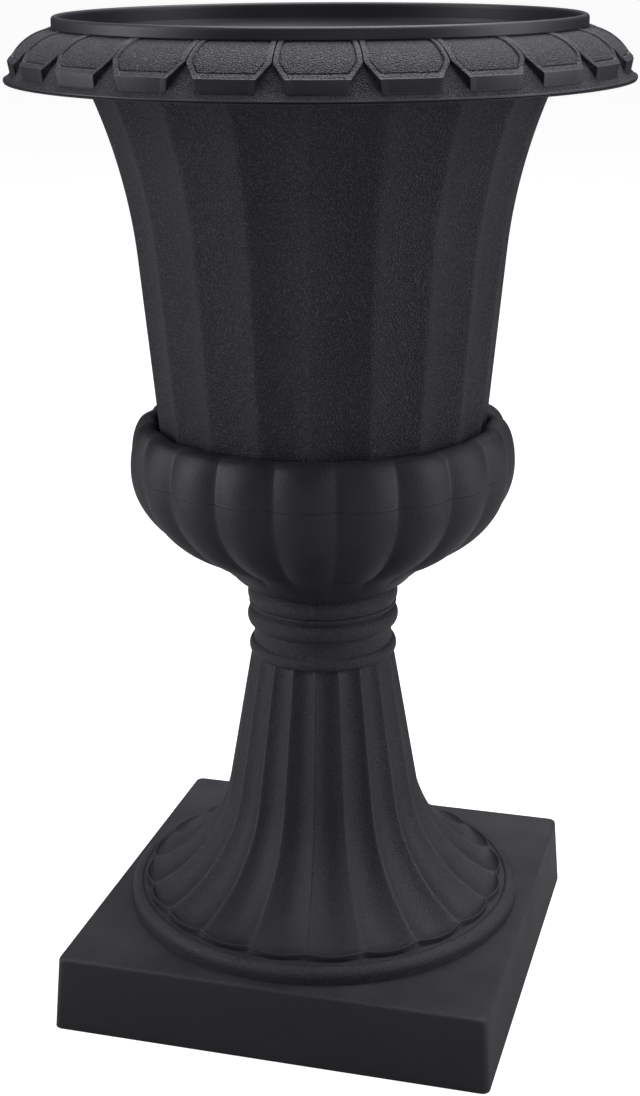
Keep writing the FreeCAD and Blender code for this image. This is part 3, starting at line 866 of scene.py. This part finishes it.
LOBE_Z = 382.0                # of the cup's widest line
LOBE_R = 132.5
LOBE_DEPTH = 4.6
CUP_MOUTH_R = 114.6
CROWN_IN = 13.4               # how far the crown's top lies inside the widest line
CROWN_H = 31.4
CROWN_POWER = 0.92            # of the crown's sine and cosine, under 1 to square it a little
CROWN_ROWS = 14               # of the mesh, from the crown's top to the widest line
DIP_R, DIP_H = 4.4, 5.0       # the crown's turn down to the mouth
BELLY_R, BELLY_H = 127.0, 80.0        # half axes of the ellipse below the widest line
BELLY_END = 56.0              # where that ellipse ends, in degrees
BELLY_ROWS = 32
FOOT_CREASE = (64.5, 304.8)   # between the cup's round bottom and its foot
CUP_FLOOR_T = 3.2
MOUTH_ROWS = 8                # over which the mouth's flutes fade out


def cup_rows():
    """Outline of the cup down its outside and back up its inside, with the lobes' press."""
    crown_r = LOBE_R - CROWN_IN
    crown_z = LOBE_Z + CROWN_H
    crest = []
    depths = []
    for turn, depth in ((0.15, 0.0), (0.5, 0.1), (0.9, 0.3), (1.3, 0.6)):
        crest.append((crown_r - DIP_R * math.cos(turn), crown_z - DIP_H * (1 - math.sin(turn))))
        depths.append(depth)
    for i in range(CROWN_ROWS):
        turn = math.radians(90.0 * (1 - i / CROWN_ROWS))
        out, up = math.cos(turn) ** CROWN_POWER, math.sin(turn) ** CROWN_POWER
        crest.append((crown_r + CROWN_IN * out, LOBE_Z + CROWN_H * up))
        depths.append(max(1.0, LOBE_DEPTH * math.cos(turn) ** 0.45))
    for i in range(BELLY_ROWS + 1):
        down = i / BELLY_ROWS
        turn = math.radians(BELLY_END * down)
        crest.append((LOBE_R - BELLY_R * (1 - math.cos(turn)), LOBE_Z - BELLY_H * math.sin(turn)))
        depths.append(LOBE_DEPTH * (1 - 0.45 * down ** 2) * (1 - 0.5 * down ** 10))
    last_depth = depths[-1]
    foot = arc_points(crest[-1], (70.4, 309.8), FOOT_CREASE, 1.0)
    for i, point in enumerate(foot):
        crest.append(point)
        depths.append(last_depth * (1 - (i + 1) / len(foot)) ** 1.2)
    normals = outward_normals(crest)
    outside = [(r - n[0] * d, z - n[1] * d) for (r, z), n, d in zip(crest, normals, depths)]
    press = [(n[0] * d, n[1] * d) for n, d in zip(normals, depths)]
    outside += arc_points(FOOT_CREASE, (59.8, 299.9), (54.4, CUP_FOOT_Z + 1.2), 1.6)
    inner_r = LOBE_R - LOBE_DEPTH - WALL
    spigot_r = NECK_BORE - GAP
    rest = trace(
        (54.4, CUP_FOOT_Z + 1.2), ((53.8, CUP_FOOT_Z + 0.4), (52.8, CUP_FOOT_Z)), (spigot_r, CUP_FOOT_Z),
        (spigot_r, CUP_FOOT_Z - SPIGOT_H), (spigot_r - WALL, CUP_FOOT_Z - SPIGOT_H),
        (spigot_r - WALL, CUP_FOOT_Z), (BOLT_HOLE_R, CUP_FOOT_Z), (BOLT_HOLE_R, CUP_FOOT_Z + CUP_FLOOR_T),
        (50.0, CUP_FOOT_Z + CUP_FLOOR_T), ((62.0, 307.6), (74.0, 320.0)), ((108.0, 346.0), (inner_r, LOBE_Z)),
        ((inner_r - 2.4, 392.0), (CUP_MOUTH_R + 3, 402.0)), step=6.0,
    )[1:]
    mouth = [(CUP_MOUTH_R, 404.0), (CUP_MOUTH_R, 407.6), (CUP_MOUTH_R + 0.1, 408.4)]
    rows = outside + rest + mouth
    return rows, press


def mouth_press(count):
    """Press that makes the cup's mouth follow the flutes of the bowl that stands in it."""
    depth = CUP_MOUTH_R * FLUTE_DEPTH
    press = [(-depth * max(0.0, 1 - i / MOUTH_ROWS), 0.0) for i in range(count)]
    press[-3:] = [(-depth, 0.0)] * 3
    return press


def make_cup():
    """Cup as one closed shell: lobes outside, and the bowl's flutes round its mouth."""
    rows, press = cup_rows()
    azimuths = crowded(CUP_COLUMNS // FLUTES, CUP_PHASE)
    shell = turned("cup_moulding", rows, azimuths, press)
    fluted(shell, CUP_PHASE, 0.04, CUP_SATIN)
    lobed_arris = [item.value for item in shell.data.attributes["arris"].data]
    press_attribute(shell, len(azimuths), mouth_press(len(rows)))
    fluted(shell, BOWL_PHASE, 0.05, CUP_SATIN)
    shell.data.attributes["arris"].data.foreach_set("value", lobed_arris)
    return shell


def plate(name, points, thickness):
    """Flat rib on azimuth 0 from its outline of (r, z) points, with its edges eased."""
    half = thickness / 2 * MM
    verts = [(side * half, -r * MM, z * MM) for side in (-1, 1) for r, z in points]
    n = len(points)
    faces = [tuple(range(n)), tuple(reversed(range(n, 2 * n)))]
    faces += [((i + 1) % n, i, n + i, n + (i + 1) % n) for i in range(n)]
    piece = new_piece(name, verts, faces)
    ease = piece.modifiers.new("eased edges", "BEVEL")
    ease.width = 0.35 * MM
    ease.segments = 2
    return outward(settled(piece))


def outward(piece):
    """Turns a closed piece's faces to look outwards."""
    work = bmesh.new()
    work.from_mesh(piece.data)
    bmesh.ops.recalc_face_normals(work, faces=work.faces)
    work.to_mesh(piece.data)
    work.free()
    return piece


def make_cup_ribs():
    """Ribs in the cup that carry the bowl, each with a tongue that stands in one of its flutes."""
    tongue_h = 12.0
    valley = BOWL_FOOT_R * (1 - FLUTE_DEPTH) + 1.0
    lean = tongue_h * math.tan(TAPER)
    rib = plate("cup_ribs", [
        (34.0, CUP_FOOT_Z + 2), (52.0, CUP_FOOT_Z + 2), (61.0, 304.6), (68.0, 311.4), (75.0, 320.0),
        (107.5, 343.0), (110.5, BOWL_FOOT_Z + tongue_h), (valley + lean, BOWL_FOOT_Z + tongue_h),
        (valley, BOWL_FOOT_Z), (90.0, BOWL_FOOT_Z), (40.0, CUP_FOOT_Z + 16.0), (34.0, CUP_FOOT_Z + 8.0),
    ], WALL)
    first = math.radians(BOWL_PHASE + 180.0 / FLUTES)
    return made_by(rib, ROUND_ARRAY, Count=RIBS, First=first, Merge=1e-6, Material=CUP_SATIN)


cup = make_cup()
finish_piece(cup, "stand", ["cup"], CUP_SATIN, sharp=50)
cup_ribs = make_cup_ribs()
finish_piece(cup_ribs, "stand", [], CUP_SATIN, sharp=35)


# ---- neck

def make_neck():
    """Neck ring as one closed shell: three rolls outside, a plain bore inside."""
    return turned("neck_moulding", trace(
        (48.8, CUP_FOOT_Z), (49.2, 294.8), ((52.9, 287.6), (51.9, 282.9)), (51.0, 282.3), (51.7, 281.8),
        ((52.1, 280.5), (50.9, 279.0)), (49.2, 278.2), (49.4, 277.4), ((53.3, 270.8), (52.3, 266.6)),
        (51.6, 265.9), ((49.4, 265.2), (48.6, 263.4)), ((48.6, 258.8), (48.8, 254.4)),
        ((49.0, 253.4), (50.1, 252.6)), ((52.2, 248.4), (51.5, STEM_TOP_Z + 0.5)),
        (50.6, STEM_TOP_Z), (NECK_BORE, STEM_TOP_Z), (NECK_BORE, CUP_FOOT_Z), step=0.7,
    ), evenly(NECK_COLUMNS))


neck = make_neck()
finish_piece(neck, "stand", ["neck_ring"], NECK_SATIN, sharp=40)


# ---- pedestal

STEM_LEAN = math.radians(9.9)
STEM_END = math.radians(66.0)         # the flare's lean at its foot
STEM_TOP_R = 51.0
SHAFT_ROWS = 15         # of the mesh, on the straight shaft
FLARE_ROWS = 48
FLARE_TOP_Z = 144.0
STEM_FLARE_R = 100.0    # of the flare's arc
STEM_FLUTE = 0.06       # depth as a part of the radius
SCOOP_START = 0.90      # where a flute's floor begins to rise to its rounded foot
SCALLOP = 4.4           # how far that foot stands out past the arrises


def stem_rows():
    """Outline of stem, foot ring and throat with the flutes' press."""
    top_r = STEM_TOP_R + (STEM_TOP_Z - FLARE_TOP_Z) * math.tan(STEM_LEAN)
    centre_r = top_r + STEM_FLARE_R * math.cos(STEM_LEAN)
    centre_z = FLARE_TOP_Z + STEM_FLARE_R * math.sin(STEM_LEAN)
    outside = [(STEM_TOP_R - 0.6, STEM_TOP_Z), (STEM_TOP_R, STEM_TOP_Z - 0.6)]
    press = [(-STEM_TOP_R * STEM_FLUTE, 0.0)] * 2
    for i in range(1, SHAFT_ROWS):
        z = STEM_TOP_Z - (STEM_TOP_Z - FLARE_TOP_Z) * i / SHAFT_ROWS
        r = STEM_TOP_R + (STEM_TOP_Z - z) * math.tan(STEM_LEAN)
        outside.append((r, z))
        press.append((-r * STEM_FLUTE, 0.0))
    for i in range(FLARE_ROWS + 1):
        along = 1 - (1 - i / FLARE_ROWS) ** 1.5
        turn = STEM_LEAN + (STEM_END - STEM_LEAN) * along
        r = centre_r - STEM_FLARE_R * math.cos(turn)
        outside.append((r, centre_z - STEM_FLARE_R * math.sin(turn)))
        scoop = max(0.0, (along - SCOOP_START) / (1 - SCOOP_START))
        depth = r * STEM_FLUTE * math.sqrt(1 - 0.99 * scoop ** 3)
        press.append((-depth * math.cos(turn) + SCALLOP * scoop ** 2, -depth * math.sin(turn)))
    end_r, end_z = outside[-1]
    outside += [(end_r + 0.5, end_z - 0.5), (end_r + 0.6, end_z - 1.4), (end_r + 0.7, 65.8),
                (end_r + 1.2, 65.0)]
    press += [(SCALLOP, -0.4), (SCALLOP, -0.4), (SCALLOP - 0.6, 0.0), (SCALLOP - 1.4, 0.0)]
    ring = trace(
        (132.6, 64.9), (133.6, 64.4), ((134.5, 65.2), (135.8, 65.4)), ((139.6, 63.8), (141.9, 59.0)),
        (141.9, PLINTH_H - 0.4), step=1.4,
    )
    spigot_r = NECK_BORE - GAP
    inside = trace(
        ring[-1], (112.0, PLINTH_H - 0.4), (112.0, 58.0), ((84.0, 88.0), (64.0, FLARE_TOP_Z)),
        (45.2, STEM_TOP_Z - 4.5), (BOLT_HOLE_R, STEM_TOP_Z - 4.5), (BOLT_HOLE_R, STEM_TOP_Z),
        (spigot_r - WALL, STEM_TOP_Z), (spigot_r - WALL, STEM_TOP_Z + SPIGOT_H),
        (spigot_r, STEM_TOP_Z + SPIGOT_H), (spigot_r, STEM_TOP_Z), (47.2, STEM_TOP_Z), step=5.0,
    )[1:]
    rows = outside + ring + inside
    return rows, press


def make_stem():
    """Stem, foot ring and throat as one closed shell."""
    rows, press = stem_rows()
    shell = turned("stem_moulding", rows, crowded(STEM_COLUMNS // FLUTES, STEM_PHASE), press)
    return fluted(shell, STEM_PHASE, 0.07, STEM_SATIN)


PLINTH_COLUMNS = 176
CORNER_COLUMNS = 8      # of them, round each corner
PLINTH_CORNER = 5.0     # radius of its upright edges
PLINTH_DRAFT = 3.6      # how far its sides lean in
PLINTH_RIM = 3.2        # width of its foot


def square_ring(half):
    """Azimuth and radius of points round a square with rounded corners, the same number for any size."""
    ring = []
    per_side = PLINTH_COLUMNS // 4
    straight = per_side - CORNER_COLUMNS
    inner = half - PLINTH_CORNER
    for side in range(4):
        for i in range(per_side):
            if i <= straight:
                x = half
                y = inner * (2 * i / straight - 1)
            else:
                turn = math.radians(90.0 * (i - straight) / (per_side - straight))
                x = inner + PLINTH_CORNER * math.cos(turn)
                y = inner + PLINTH_CORNER * math.sin(turn)
            ring.append((math.degrees(math.atan2(y, x)) + 90.0 * side + 90.0, math.hypot(x, y)))
    return ring


def make_plinth():
    """Hollow square plinth, open beneath, with a round hole in its top under the stem."""
    verts = []

    def square_row(inset, z):
        """Adds a row that lies inside the leaning side by the inset."""
        for azimuth, r in square_ring(PLINTH_HALF - PLINTH_DRAFT / PLINTH_H * z - inset):
            verts.append(place(r, z, azimuth))

    def circle_row(radius, z):
        """Adds a round row at the same azimuths."""
        for azimuth, _ in square_ring(PLINTH_HALF):
            verts.append(place(radius, z, azimuth))

    circle_row(116.0, PLINTH_H)
    circle_row(139.0, PLINTH_H)
    for inset, drop in ((4.0, 0.0), (2.6, 0.0), (1.5, 0.14), (0.7, 0.55), (0.2, 1.3), (0.0, 2.4)):
        square_row(inset, PLINTH_H - drop)
    for z in (40.0, 26.0, 12.0, 2.0, 0.6):
        square_row(0.0, z)
    square_row(0.5, 0.0)
    square_row(2.7, 0.0)
    for z in (0.6, 12.0, 26.0, 40.0, PLINTH_H - WALL - 1.2):
        square_row(PLINTH_RIM, z)
    square_row(4.4, PLINTH_H - WALL)
    circle_row(112.0, PLINTH_H - WALL)
    rows = len(verts) // PLINTH_COLUMNS
    return outward(new_piece("plinth_moulding", verts, grid_faces(rows, PLINTH_COLUMNS, True, True)))


def make_plinth_ribs():
    """Stiffening ribs beneath the plinth, to its sides and to its corners."""
    low, high = 22.0, PLINTH_H - WALL + 0.5
    start, thickness = 108.0, 2.4
    pieces = []
    for name, reach, first in (("side_ribs", PLINTH_HALF - 5.4, 0.0), ("corner_ribs", 207.0, 45.0)):
        rib = plate(name, [(start, low), (reach, low), (reach, high), (start, high)], thickness)
        made_by(rib, ROUND_ARRAY, Count=4, First=math.radians(first), Merge=1e-6, Material=PLINTH)
        pieces.append(rib)
    return pieces


stem = make_stem()
finish_piece(stem, "stand", ["pedestal"], STEM_SATIN, sharp=45)
plinth = make_plinth()
finish_piece(plinth, "stand", [], PLINTH, sharp=50)
for ribs in make_plinth_ribs():
    finish_piece(ribs, "stand", [], PLINTH, sharp=35)


# ---- hardware and plug, whose CAD shapes stay

for node, finish in (("tie_bolt", ZINC), ("head_washer", ZINC), ("nut_washer", ZINC), ("tie_nut", ZINC),
                     ("drain_plug", RUBBER)):
    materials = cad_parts[node].data.materials
    materials.clear()
    materials.append(finish)


# ---- stage, light and camera

FLOOR_GLOW = 0.95             # that the camera alone sees, so that the floor is near white
SURROUNDINGS = 0.05           # strength of the light from all round
LIGHT_COLOUR = (0.955, 0.965, 1.0)
URN_MIDDLE = (0.0, 0.0, 0.36)

# Fitted to the photograph, lengths in metres, and directions before the turn by the azimuth.
CAMERA_AZIMUTH = 15.41
CAMERA_DISTANCE = 1.2427      # level, from the urn's axis
CAMERA_HEIGHT = 0.7336
CAMERA_FORWARD = (-0.00139, 0.94828, -0.31744)
CAMERA_RIGHT = (0.99999, -0.00022, -0.00505)
FOCAL_PIXELS = 1868.16
IMAGE_H = 1096.0              # pixels of the photograph's longer side
SENSOR = 36.0                 # millimetres


def make_floor():
    """Pale studio floor, just under the plinth, that the camera itself sees nearly white."""
    material, tree, shader, where = new_material("pale floor", 0.0)
    shader["Base Color"].default_value = (0.35, 0.35, 0.35, 1.0)
    shader["Roughness"].default_value = 0.85
    shader["Emission Color"].default_value = (1.0, 1.0, 1.0, 1.0)
    seen = tree.nodes.new("ShaderNodeLightPath").outputs["Is Camera Ray"]
    join(tree, maths(tree, "MULTIPLY", seen, FLOOR_GLOW), shader["Emission Strength"])
    reach = 30.0
    corners = [(-reach, -reach, 0), (reach, -reach, 0), (reach, reach, 0), (-reach, reach, 0)]
    floor = new_piece("floor", corners, [(0, 1, 2, 3)])
    floor.location.z = -0.0005
    floor.data.materials.append(material)


def softbox(name, azimuth, distance, height, size, power):
    """Square soft light that looks at the urn. Its azimuth is from the camera's side."""
    data = bpy.data.lights.new(name, "AREA")
    data.shape = "RECTANGLE"
    data.size, data.size_y = size
    data.energy = power
    data.color = LIGHT_COLOUR
    light = bpy.data.objects.new(name, data)
    bpy.context.scene.collection.objects.link(light)
    light.location = place(distance / MM, height / MM, CAMERA_AZIMUTH + azimuth)
    light.rotation_euler = (Vector(URN_MIDDLE) - light.location).to_track_quat("-Z", "Y").to_euler()


def make_camera():
    """Camera at the photograph's viewing angle."""
    turn = Matrix.Rotation(math.radians(CAMERA_AZIMUTH), 3, "Z")
    forward = turn @ Vector(CAMERA_FORWARD)
    right = turn @ Vector(CAMERA_RIGHT)
    up = right.cross(forward)
    data = bpy.data.cameras.new("camera")
    data.sensor_fit = "AUTO"
    data.sensor_width = SENSOR
    data.lens = FOCAL_PIXELS / IMAGE_H * SENSOR
    data.clip_end = 100.0
    camera = bpy.data.objects.new("camera", data)
    bpy.context.scene.collection.objects.link(camera)
    axes = Matrix((right, up, -forward)).transposed().to_4x4()
    spot = place(CAMERA_DISTANCE / MM, CAMERA_HEIGHT / MM, CAMERA_AZIMUTH)
    camera.matrix_world = Matrix.Translation(spot) @ axes
    bpy.context.scene.camera = camera


def make_world():
    """Dim, cool surroundings that the camera itself sees as white."""
    world = bpy.data.worlds.new("studio")
    world.use_nodes = True
    tree = world.node_tree
    background = tree.nodes["Background"]
    seen = tree.nodes.new("ShaderNodeLightPath").outputs["Is Camera Ray"]
    join(tree, remap(tree, seen, 0.0, 1.0, SURROUNDINGS, 1.0), background.inputs["Strength"])
    background.inputs["Color"].default_value = (0.94, 0.96, 1.0, 1.0)
    bpy.context.scene.world = world


make_floor()
make_world()
make_camera()
softbox("left softbox", azimuth=-82.0, distance=1.8, height=0.9, size=(0.9, 1.8), power=31.0)
softbox("right softbox", azimuth=78.0, distance=1.8, height=0.9, size=(0.9, 1.8), power=27.0)
softbox("top softbox", azimuth=150.0, distance=0.5, height=2.4, size=(2.0, 2.0), power=92.0)
softbox("front fill", azimuth=8.0, distance=2.2, height=0.5, size=(1.6, 1.2), power=8.0)
bpy.context.scene.view_settings.view_transform = "Standard"
